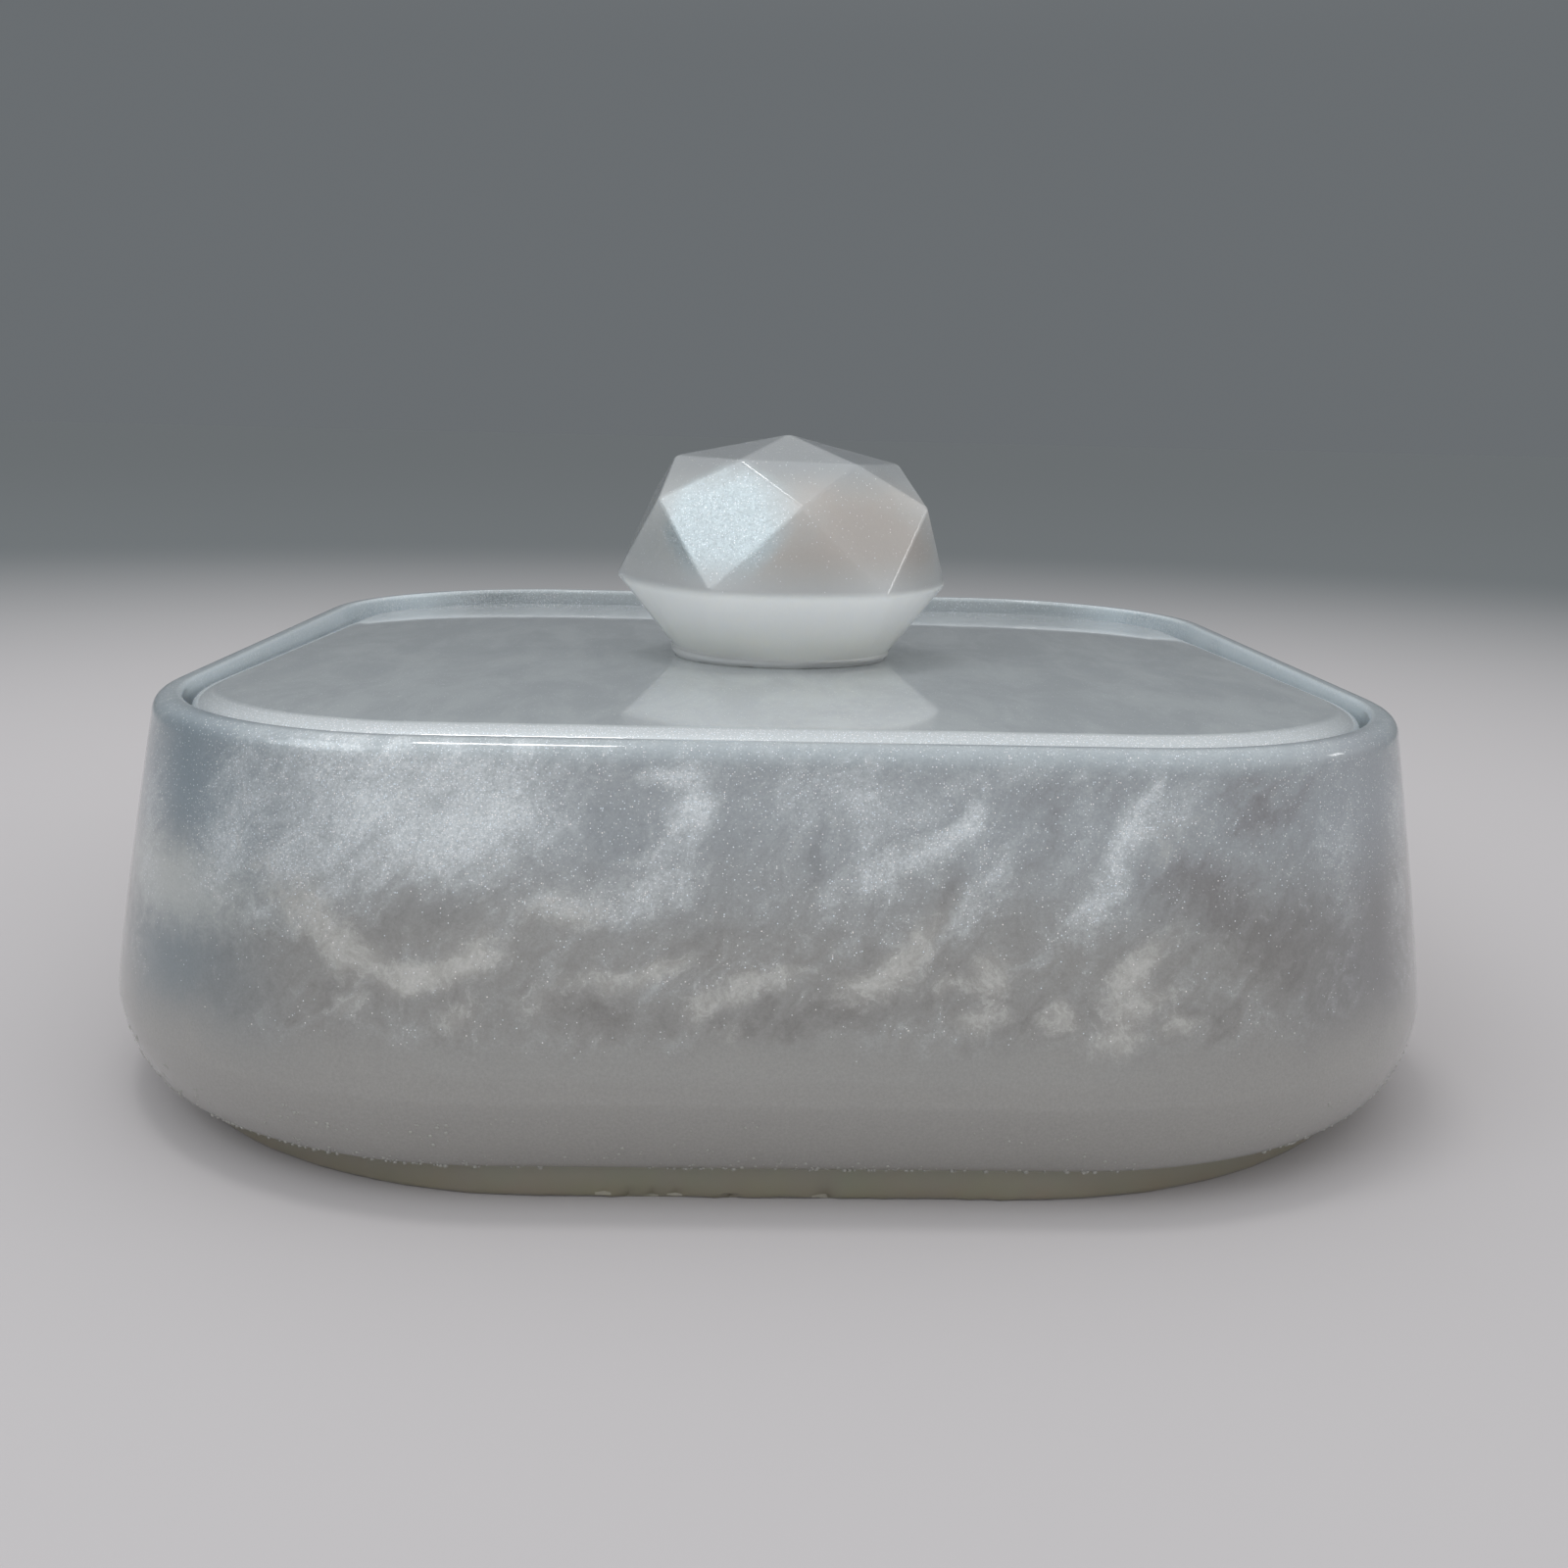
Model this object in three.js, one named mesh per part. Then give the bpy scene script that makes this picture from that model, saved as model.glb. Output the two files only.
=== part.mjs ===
// A cast resin trinket box: a rounded square bowl on a thin clear foot, and a
// lift-off lid that sits inside the rim and carries a faceted knob.
// Millimetres, +Z up, the origin at the centre of the foot's underside.

import * as THREE from 'three';

// Driving sizes of the bowl. Widths are across the flats, the same both ways.
const bodyWidth = 115;             // at the belly, the widest part
const bellyRise = 6.4;             // from the foot up to the belly
const bellyCornerRadius = 36;
const rimInset = 5.3;              // how far the wall leans in from belly to rim
const rimHeight = 33.9;            // above the table
const rimCornerRadius = 26;
const lipThickness = 2.4;          // wall beside the lid
const rimRoundShares = { outer: 0.62, inner: 0.2 };   // of the lip's thickness
const shoulderInset = 2.9;         // how far the body draws in from belly to foot
const shoulderCornerRadius = 33;
const bellyRoundness = 1.67;       // exponent of the curve from foot to belly, 2 is an ellipse
const wallBow = 1.06;              // exponent of the wall above the belly, 1 is straight

// The foot, the last pour of clear resin.
const footHeight = 2.8;
const footInset = 0.65;            // step in from the body's lower edge
const footCornerRadius = 36.3;
const footEdgeRound = 0.5;

// The hollow.
const floorThickness = 7.8;        // pearl resin above the foot
const ledgeWidth = 3.6;            // step that carries the lid
const cavityTaper = 0.8;           // how far the hollow draws in from ledge to floor
const cavityFloorFillet = 5;

// The lid. It was cast on a bench that wasn't level, so its top face leans:
// thicker towards the front, thinner towards the back.
const lidGap = 0.6;                // running gap to the lip all round
const lidThickness = 5.5;          // at the middle
const lidDrop = 0.6;               // middle of the top face below the rim
const lidLean = 1.15;              // degrees, front edge up
const lidBorderWidth = 2.2;        // rounded border outside the flat face
const lidBorderDrop = 1.5;
const lidBorderSweep = 65;         // degrees of its arc, which leaves a soft edge at the flat face
const lidUnderRound = 0.5;

// The knob: a six-sided crown of flat facets, with low triangles round its
// point and kites between steeper triangles, on a round cone down to the neck.
const knobOffsetX = 0.7;           // from the middle of the lid
const knobOffsetY = -3.2;
const knobSides = 6;
const knobTurn = -25.7;            // degrees, first girdle corner from the front
const neckRadius = 10.9;
const neckHeight = 0.4;            // straight run at the foot of the cone
const girdleRadius = 16.4;         // to the corners
const girdleRise = 6.5;            // above the neck's straight run
const kiteRise = 7.85;             // side corners of the kites above the girdle
const tableRadius = 11;            // top corners of the kites
const tableRise = 3.8;             // above the side corners of the kites
const pointRise = 2.45;
const girdleBowShare = 0.55;       // girdle's bulge between corners, 1 is a full circle

// The clear glue between knob and lid.
const bondThickness = 0.2;         // where it is thinnest
const bondOverhang = 0.15;         // bead outside the neck
const seatClearance = 0.3;         // between the leaning face of the lid and the glue

// Smoothness.
const cornerSegments = 9;
const wallSegments = 10;
const bellySegments = 8;
const roundSegments = 4;
const girdleSegments = 4;          // per side of the knob

const halfBody = bodyWidth / 2;
const halfRim = halfBody - rimInset;
const halfShoulder = halfBody - shoulderInset;
const halfFoot = halfShoulder - footInset;
const halfRebate = halfRim - lipThickness;
const halfLid = halfRebate - lidGap;
const halfCavity = halfRebate - ledgeWidth;
const rebateCornerRadius = rimCornerRadius - lipThickness;
const lidCornerRadius = rebateCornerRadius - lidGap;
const cavityCornerRadius = rebateCornerRadius - ledgeWidth;
const bellyHeight = footHeight + bellyRise;
const floorHeight = footHeight + floorThickness;
const lidTopHeight = rimHeight - lidDrop;
const ledgeHeight = lidTopHeight - lidThickness;
const lean = -Math.tan(THREE.MathUtils.degToRad(lidLean));

const rimOuterRound = lipThickness * rimRoundShares.outer;
const rimInnerRound = lipThickness * rimRoundShares.inner;
// Roundings stop where the walls that carry them do.
const floorFillet = Math.min(cavityFloorFillet, ledgeHeight - floorHeight, cavityCornerRadius - cavityTaper);
const borderWidth = Math.min(lidBorderWidth, lidCornerRadius);
const borderDrop = Math.min(lidBorderDrop, lidThickness - lidUnderRound - Math.abs(lean) * halfLid);

const girdleHeight = neckHeight + girdleRise;
const kiteHeight = girdleHeight + kiteRise;
const tableHeight = kiteHeight + tableRise;
const apexHeight = tableHeight + pointRise;

const mix = (a, b, share) => a + (b - a) * share;

// A ring is a rounded square at one height: half its width, its corner radius,
// and a lean, the rise of its plane for each millimetre along Y.
const ring = (half, radius, z, lean = 0) => ({ half, radius, z, lean });

function roundedSquare({ half, radius }) {
  const r = Math.min(radius, half);
  const c = half - r;
  const shape = new THREE.Shape();
  const turns = [[c, c], [-c, c], [-c, -c], [c, -c]];
  turns.forEach(([x, y], i) => {
    shape.absarc(x, y, r, i * Math.PI / 2, (i + 1) * Math.PI / 2, false);
  });
  return shape;
}

// The same number of points on every ring: the corner arcs only, because the
// flats between them are straight.
function ringPoints(spec) {
  const points = [];
  for (const arc of roundedSquare(spec).curves.filter((curve) => curve.isEllipseCurve)) {
    for (const p of arc.getPoints(cornerSegments)) {
      points.push([p.x, p.y, spec.z + spec.lean * p.y]);
    }
  }
  return points;
}

// Joins rings of points in order into one closed skin, with a fan at each end.
function loft(rings) {
  const count = rings[0].length;
  const position = rings.flat(2);
  const index = [];
  for (let level = 0; level < rings.length - 1; level++) {
    for (let i = 0; i < count; i++) {
      const next = (i + 1) % count;
      const a = level * count + i;
      const b = level * count + next;
      index.push(a, b, b + count, a, b + count, a + count);
    }
  }
  const cap = (level, outward) => {
    const centre = position.length / 3;
    const middle = [0, 1, 2].map((axis) => rings[level].reduce((sum, p) => sum + p[axis], 0) / count);
    position.push(...middle);
    for (let i = 0; i < count; i++) {
      const a = level * count + i;
      const b = level * count + (i + 1) % count;
      index.push(...(outward ? [centre, a, b] : [centre, b, a]));
    }
  };
  cap(0, false);
  cap(rings.length - 1, true);
  const geometry = new THREE.BufferGeometry();
  geometry.setAttribute('position', new THREE.Float32BufferAttribute(position, 3));
  geometry.setIndex(index);
  geometry.computeVertexNormals();
  return geometry;
}

const loftSquares = (specs) => loft(specs.map(ringPoints));

// Steps along an arc that starts upright: the shares of its rise and of its
// inward run that each step has reached.
const arcShares = (sweep = 90) => Array.from({ length: roundSegments + 1 }, (_, i) => {
  const end = THREE.MathUtils.degToRad(sweep);
  const a = (i / roundSegments) * end;
  return [Math.sin(a) / Math.sin(end), (1 - Math.cos(a)) / (1 - Math.cos(end))];
});

// The bowl, from its lower edge up the outside, over the rim, and down inside.
function bowl() {
  const rings = [];
  for (let i = 0; i <= bellySegments; i++) {
    const share = i / bellySegments;
    const out = Math.pow(1 - Math.pow(1 - share, bellyRoundness), 1 / bellyRoundness);
    rings.push(ring(
      mix(halfShoulder, halfBody, out),
      mix(shoulderCornerRadius, bellyCornerRadius, out),
      mix(footHeight, bellyHeight, share)));
  }
  for (let i = 1; i <= wallSegments; i++) {
    const share = i / wallSegments;
    rings.push(ring(
      mix(halfBody, halfRim, Math.pow(share, wallBow)),
      mix(bellyCornerRadius, rimCornerRadius, share),
      mix(bellyHeight, rimHeight - rimOuterRound, share)));
  }
  for (const [rise, run] of arcShares().slice(1)) {
    const inset = rimOuterRound * run;
    rings.push(ring(halfRim - inset, rimCornerRadius - inset,
      rimHeight - rimOuterRound * (1 - rise)));
  }
  for (const [rise, run] of arcShares()) {
    const outset = rimInnerRound * (1 - rise);
    rings.push(ring(halfRebate + outset, rebateCornerRadius + outset,
      rimHeight - rimInnerRound * run));
  }
  rings.push(ring(halfRebate, rebateCornerRadius, ledgeHeight));
  rings.push(ring(halfCavity, cavityCornerRadius, ledgeHeight));
  for (const [rise, run] of arcShares()) {
    const inset = cavityTaper + floorFillet * run;
    rings.push(ring(halfCavity - inset, cavityCornerRadius - inset,
      floorHeight + floorFillet * (1 - rise)));
  }
  return loftSquares(rings);
}

function foot() {
  return loftSquares([
    ring(halfFoot - footEdgeRound, footCornerRadius - footEdgeRound, 0),
    ring(halfFoot, footCornerRadius, footEdgeRound),
    ring(halfFoot, footCornerRadius, footHeight),
  ]);
}

// The lid's underside is level on the ledge and its top face leans.
function lidPlate() {
  const rings = [
    ring(halfLid - lidUnderRound, lidCornerRadius - lidUnderRound, ledgeHeight),
    ring(halfLid, lidCornerRadius, ledgeHeight + lidUnderRound),
  ];
  for (const [rise, run] of arcShares(lidBorderSweep)) {
    const inset = borderWidth * run;
    rings.push(ring(halfLid - inset, lidCornerRadius - inset,
      lidTopHeight - borderDrop * (1 - rise), lean));
  }
  return loftSquares(rings);
}

// A circle of points about the knob's axis, with heights above its underside.
const circle = (radius, z, segments, slope = 0) => Array.from({ length: segments }, (_, i) => {
  const a = (i / segments) * 2 * Math.PI;
  const y = radius * Math.sin(a);
  return [radius * Math.cos(a), y, z + slope * y];
});

// The crown's corners are set by angle from the front, seen from above.
const around = (radius, z, turn) => {
  const a = THREE.MathUtils.degToRad(turn);
  return new THREE.Vector3(radius * Math.sin(a), -radius * Math.cos(a), z);
};

function knob() {
  const side = 360 / knobSides;
  // A kite is flat, so its side corners lie on the line from its top to its point.
  const kiteMiddle = mix(tableRadius, girdleRadius,
    (tableHeight - kiteHeight) / (tableHeight - girdleHeight));
  const kiteRadius = kiteMiddle / Math.cos(Math.PI / knobSides);
  const corners = [];
  const triangle = (a, b, c) => corners.push(a, b, c);
  const apex = new THREE.Vector3(0, 0, apexHeight);
  const underside = new THREE.Vector3(0, 0, 0);
  const flatRadius = girdleRadius * Math.cos(Math.PI / knobSides);
  for (let k = 0; k < knobSides; k++) {
    const turn = knobTurn + k * side;
    const table = around(tableRadius, tableHeight, turn);
    const tableNext = around(tableRadius, tableHeight, turn + side);
    const kiteBefore = around(kiteRadius, kiteHeight, turn - side / 2);
    const kiteAfter = around(kiteRadius, kiteHeight, turn + side / 2);
    const point = around(girdleRadius, girdleHeight, turn);
    triangle(apex, table, tableNext);
    triangle(table, kiteAfter, tableNext);
    triangle(table, kiteBefore, point);
    triangle(table, point, kiteAfter);
    // The girdle bows a little between two corners.
    for (let i = 0; i < girdleSegments; i++) {
      const step = (n) => {
        const angle = (n / girdleSegments - 0.5) * side;
        const chord = flatRadius / Math.cos(THREE.MathUtils.degToRad(angle));
        const radius = mix(chord, girdleRadius, girdleBowShare);
        const at = turn + side / 2 + angle;
        return {
          girdle: around(radius, girdleHeight, at),
          cone: around(neckRadius, neckHeight, at),
          neck: around(neckRadius, 0, at),
        };
      };
      const a = step(i);
      const b = step(i + 1);
      triangle(kiteAfter, a.girdle, b.girdle);
      triangle(a.girdle, a.cone, b.girdle);
      triangle(b.girdle, a.cone, b.cone);
      triangle(a.cone, a.neck, b.cone);
      triangle(b.cone, a.neck, b.neck);
      triangle(underside, b.neck, a.neck);
    }
  }
  return new THREE.BufferGeometry().setFromPoints(corners);
}

// The glue bead leans with the lid below and is level under the knob, so it is
// thinnest at the front.
const knobGround = lidTopHeight + lean * knobOffsetY;   // lid's face under the knob's axis
const beadRadius = neckRadius + bondOverhang;
const beadTop = seatClearance + bondThickness + Math.abs(lean) * beadRadius;
const beadFlareShare = 0.5;

function knobBond() {
  const segments = knobSides * girdleSegments;
  return loft([
    circle(beadRadius, seatClearance, segments, lean),
    circle(beadRadius, mix(seatClearance, beadTop, beadFlareShare), segments, mix(lean, 0, beadFlareShare)),
    circle(neckRadius, beadTop, segments),
  ]);
}

function material(color, roughness, opacity = 1) {
  return new THREE.MeshStandardMaterial({
    color, roughness, metalness: 0, opacity, transparent: opacity < 1,
  });
}

function part(name, geometry, look, at = [0, 0, 0]) {
  const mesh = new THREE.Mesh(geometry, look);
  mesh.name = name;
  mesh.position.set(...at);
  return mesh;
}

const group = new THREE.Group();
group.add(part('foot', foot(), material(0xa3a096, 0.25, 0.8)));
group.add(part('box_body', bowl(), material(0xb4bac0, 0.15)));
group.add(part('lid_plate', lidPlate(), material(0xb9bdc0, 0.12)));

const knobGroup = new THREE.Group();
knobGroup.position.set(knobOffsetX, knobOffsetY, knobGround);
knobGroup.add(part('knob_bond', knobBond(), material(0xc9cdc8, 0.2, 0.7)));
knobGroup.add(part('knob', knob(), material(0xc6cacd, 0.15), [0, 0, beadTop]));
group.add(knobGroup);

export default group;
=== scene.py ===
import math
import random
from collections import namedtuple

import bmesh
import bpy
from mathutils import Matrix, Vector


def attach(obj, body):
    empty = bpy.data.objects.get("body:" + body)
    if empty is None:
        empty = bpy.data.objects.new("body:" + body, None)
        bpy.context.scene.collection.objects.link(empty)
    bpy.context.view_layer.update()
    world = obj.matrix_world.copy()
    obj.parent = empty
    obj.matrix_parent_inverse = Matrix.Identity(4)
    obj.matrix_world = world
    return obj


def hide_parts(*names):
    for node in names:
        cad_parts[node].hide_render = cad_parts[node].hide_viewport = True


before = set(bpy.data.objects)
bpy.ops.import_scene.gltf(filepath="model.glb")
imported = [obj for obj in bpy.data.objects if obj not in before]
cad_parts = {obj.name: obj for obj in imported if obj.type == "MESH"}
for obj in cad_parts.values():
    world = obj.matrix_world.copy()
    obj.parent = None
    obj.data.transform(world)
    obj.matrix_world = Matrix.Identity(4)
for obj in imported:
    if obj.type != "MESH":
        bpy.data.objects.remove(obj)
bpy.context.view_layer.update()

# A cast resin trinket box. Lengths are millimetres in the tables and metres in Blender.
MM = 0.001

# Camera: the angle of the photograph, a square frame on a 36 mm sensor.
CAMERA_PLACE = (-3.594, -161.56, 56.06)
CAMERA_LENS, SENSOR = 36.39, 36
CAMERA_DOWN, CAMERA_RIGHT, CAMERA_ROLL = 12.80, 1.7445, 1.3545

# Bowl
HALF_BODY, BELLY_RADIUS, BELLY_Z = 57.5, 36, 9.2
HALF_RIM, RIM_RADIUS, RIM_Z = 52.2, 26, 33.9
HALF_SHOULDER, SHOULDER_RADIUS = 54.6, 33
BELLY_ROUNDNESS, WALL_BOW = 1.67, 1.06
RIM_OUTER_ROUND, RIM_INNER_ROUND = 1.488, 0.48
HALF_REBATE, REBATE_RADIUS, LEDGE_Z = 49.8, 23.6, 27.8
HALF_HOLLOW, HOLLOW_RADIUS = 46.2, 20.0
LEDGE_ROUND = 0.5
HOLLOW_TAPER, FLOOR_Z, FLOOR_FILLET = 0.8, 10.6, 5

# Foot
HALF_FOOT, FOOT_RADIUS, FOOT_Z, FOOT_ROUND = 53.95, 36.3, 2.8, 0.5
EDGE_GRAIN, EDGE_DEPTH = 1.6, 0.16
PITS, PIT_REACH, PIT_DEPTH = 22, 0.2, 0.3

# Lid
HALF_LID, LID_RADIUS, LID_TOP_Z = 49.2, 23.0, 33.3
LID_UNDER_ROUND = 0.5
LID_SLOPE = -math.tan(math.radians(1.15))
BORDER_WIDTH, BORDER_DROP, BORDER_SWEEP = 2.2, 1.5, 65
LID_EDGE_EASE = 0.12

# Knob
KNOB_X, KNOB_Y = 0.7, -3.2
KNOB_GROUND = LID_TOP_Z + LID_SLOPE * KNOB_Y
# The crown's first corner stands 25.7 degrees to the left of the front.
KNOB_SIDES, KNOB_HEADING = 6, math.radians(-25.7 - 90)
NECK_RADIUS, NECK_RISE = 10.9, 0.4
GIRDLE_RADIUS, GIRDLE_Z, GIRDLE_BOW = 16.4, 6.9, 0.55
KITE_Z, TABLE_RADIUS, TABLE_Z, APEX_Z = 14.75, 11, 18.55, 21.0
FACET_EASE = 0.26
# Degrees below which two faces are one facet, and above which the edge between them is eased
FLAT_BELOW, EASED_ABOVE = 0.3, 9
# It was glued a little askew: it leans to the right, about a point near its middle.
KNOB_LEAN, KNOB_SHIFT = 1.15, 0.2

# Glue bead: the height of the knob's seat on it, and its rings from the lid up as radius, height and share of the
# lid's slope
BEAD_TOP = 0.722
BEAD = ((10.5, 0, 1), (10.62, 0.15, 0.84), (10.74, 0.35, 0.6), (10.92, BEAD_TOP, 0), (10.93, BEAD_TOP + 0.15, 0))
BEAD_GRAIN, BEAD_DEPTH = 0.9, 0.1
KNOB_SEAT = KNOB_GROUND + BEAD_TOP

# Bubbles: clusters round the foot, bubbles in each, the height of their band, how far a cluster scatters up and
# round, the radii, and the depth under the skin as a share of the radius
CLUSTERS, FEWEST, MOST = 400, 2, 6
BAND, SCATTER_UP, SCATTER_ROUND = 4.4, 0.35, 0.004
BUBBLE_MIN, BUBBLE_MAX, BUBBLE_DEPTH = 0.1, 0.26, 0.65

# Steps of the curves
CORNER_STEPS, BELLY_STEPS, WALL_STEPS, ROUND_STEPS, EASE_STEPS = 22, 14, 12, 6, 4
FOOT_CUTS, GIRDLE_STEPS, BEAD_STEPS = 60, 12, 120

Ring = namedtuple("Ring", "half radius z slope", defaults=[0])
QUARTERS = ((1, 1), (-1, 1), (-1, -1), (1, -1))


def mix(a, b, share):
    return a + (b - a) * share


# Modelling by hand


def begin(name, primitive, **size):
    """Adds a primitive at its size and place with nothing else selected, and opens it for editing."""
    bpy.ops.object.select_all(action="DESELECT")
    primitive(**size)
    bpy.ops.object.transform_apply(location=True, rotation=True, scale=True)
    bpy.context.object.name = name
    bpy.ops.object.mode_set(mode="EDIT")
    bpy.ops.mesh.select_mode(type="VERT")


def pick(test):
    """Selects the vertices that pass the test, with the edges and faces between them."""
    mesh = bpy.context.object.data
    shape = bmesh.from_edit_mesh(mesh)
    shape.verts.index_update()
    for vert in shape.verts:
        vert.select = bool(test(vert))
    shape.select_flush_mode()
    shape.select_flush(True)
    bmesh.update_edit_mesh(mesh)


def picked():
    shape = bmesh.from_edit_mesh(bpy.context.object.data)
    shape.verts.index_update()
    return {vert.index for vert in shape.verts if vert.select}


def pull(last, ring):
    """Extrudes the open end to its next ring: the copy is scaled to the new corner radius, and its four
    corners are moved apart or together to the new width."""
    middle = (0, 0, ring.z * MM)
    scale = ring.radius / last.radius
    bpy.ops.mesh.extrude_region_move(TRANSFORM_OT_translate={"value": (0, 0, (ring.z - last.z) * MM)})
    bpy.ops.transform.resize(value=(scale, scale, scale), center_override=middle)
    if ring.slope != last.slope:
        turn = math.atan(ring.slope) - math.atan(last.slope)
        # With no window this operator turns the other way.
        bpy.ops.transform.rotate(value=-turn, orient_axis="X", center_override=middle)
    spread = (ring.half - last.half * scale) * MM
    if abs(spread) > 1e-9:
        end = picked()
        for sx, sy in QUARTERS:
            pick(lambda v: v.index in end and v.co.x * sx > 0 and v.co.y * sy > 0)
            bpy.ops.transform.translate(value=(sx * spread, sy * spread, sy * spread * ring.slope))
        pick(lambda v: v.index in end)
    return ring


def rounded_stack(name, rings, flat_cuts=0):
    """A square plate with rounded corners, extruded through all the rings."""
    first = rings[0]
    begin(name, bpy.ops.mesh.primitive_plane_add, size=2 * first.half * MM, location=(0, 0, first.z * MM))
    bpy.ops.mesh.bevel(offset_type="ABSOLUTE", offset=first.radius * MM, segments=CORNER_STEPS, affect="VERTICES")
    if flat_cuts:
        straight = (first.half - first.radius) * MM + 1e-6
        pick(lambda v: min(abs(v.co.x), abs(v.co.y)) < straight)
        bpy.ops.mesh.subdivide(number_cuts=flat_cuts)
        bpy.ops.mesh.select_all(action="SELECT")
    for ring in rings[1:]:
        first = pull(first, ring)


def arc(steps, sweep=90):
    """Shares of rise and run along an arc that starts upright."""
    end = math.radians(sweep)
    turns = [end * i / steps for i in range(steps + 1)]
    return [(math.sin(a) / math.sin(end), (1 - math.cos(a)) / (1 - math.cos(end))) for a in turns]


def roughen(group, size, depth):
    """Makes the picked vertices uneven, as a poured edge is. Size and depth are in millimetres."""
    piece = bpy.context.object
    piece.vertex_groups.new(name=group)
    bpy.ops.object.vertex_group_assign()
    bpy.ops.object.mode_set(mode="OBJECT")
    grain = bpy.data.textures.new(group, "CLOUDS")
    grain.noise_scale = size * MM
    rough = piece.modifiers.new(group, "DISPLACE")
    rough.texture, rough.texture_coords, rough.vertex_group = grain, "LOCAL", group
    rough.strength, rough.mid_level = 2 * depth * MM, 0.5
    bpy.ops.object.modifier_apply(modifier=rough.name)
    bpy.ops.object.mode_set(mode="EDIT")


def complete(body, material, smooth, replaced=()):
    """Closes the edit: faces outwards, smooth shading below an angle, finish, body and the node it stands for."""
    bpy.ops.mesh.select_all(action="SELECT")
    bpy.ops.mesh.normals_make_consistent(inside=False)
    bpy.ops.object.mode_set(mode="OBJECT")
    bpy.ops.object.shade_smooth_by_angle(angle=math.radians(smooth))
    piece = bpy.context.object
    piece.data.materials.append(material)
    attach(piece, body)
    if replaced:
        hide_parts(*replaced)
    return piece


# Materials


def paint(code):
    """An sRGB hex colour as linear light."""
    parts = [int(code[i:i + 2], 16) / 255 for i in (1, 3, 5)]
    return (*[c / 12.92 if c <= 0.04045 else ((c + 0.055) / 1.055) ** 2.4 for c in parts], 1)


def add(tree, kind, inputs=(), **settings):
    """Adds a node with its settings, and its inputs as values or links."""
    node = tree.nodes.new("ShaderNode" + kind)
    for key, value in settings.items():
        setattr(node, key, value)
    for key, value in dict(inputs).items():
        if isinstance(value, bpy.types.NodeSocket):
            tree.links.new(value, node.inputs[key])
        else:
            node.inputs[key].default_value = value
    return node


def blank(name):
    material = bpy.data.materials.new(name)
    material.use_nodes = True
    material.node_tree.nodes.clear()
    return material, material.node_tree


# Swirls of the pearl on a wall, read in millimetres: place along the wall, height, half length, half
# width, tilt in degrees, strength. They were stirred in by hand, so no two sides are alike.
SILVER = [
    (-27, 29.8, 14, 6.2, 4, 0.95), (-24, 26.2, 9, 3.0, 10, 0.5), (-35, 25.2, 4.6, 2.4, -22, 0.5),
    (-20.5, 29.6, 5.0, 2.6, 10, 0.4), (-30.5, 28.3, 4.6, 1.8, 14, 0.3), (-7.4, 32.0, 3.4, 1.2, 4, 1.1),
    (-6.3, 29.4, 2.4, 1.9, 60, 1.0), (-8.6, 26.2, 5.6, 2.4, 52, 0.65), (-13, 23.2, 6.5, 1.9, 16, 0.6),
    (-17.4, 22.6, 2.6, 1.2, 30, 0.35), (4.5, 30.4, 9.5, 3.8, 0, 0.42), (5.6, 28, 5, 2.2, 84, 0.35),
    (0, 26, 3.4, 1.6, 60, 0.3), (12.9, 29.6, 2.8, 1.3, 62, 0.85), (10.2, 26.6, 4.4, 1.4, 38, 0.85),
    (5.8, 24.7, 3.6, 1.1, 22, 0.7), (3.4, 22.9, 1.5, 0.9, 50, 0.45), (15.3, 25.2, 5.2, 1.8, 64, 0.55),
    (12.6, 22, 2.2, 1.3, 50, 0.5), (25.8, 30, 4.2, 1.3, 52, 0.7), (23.6, 26.6, 3.8, 1.5, 62, 0.65),
    (21.2, 23.2, 3.2, 1.5, 66, 0.6), (28, 28.8, 3.8, 2.0, 20, 0.35), (-45.5, 22.6, 9, 2.6, 38, 0.55),
    (19, 20.4, 5, 1.2, 14, 0.15), (45.5, 20, 4, 5.5, 0, 0.25), (17.5, 32.4, 6, 1.0, 0, 0.5),
    (-24, 32.4, 14, 1.5, 0, 0.4), (-41.5, 28.6, 4.4, 4, 0, 0.5), (43, 27, 4.4, 6, 0, 0.35),
    (-35, 21.4, 7, 1.8, 0, 0.3), (-42, 24, 5, 2.6, 30, 0.4),
]
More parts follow.
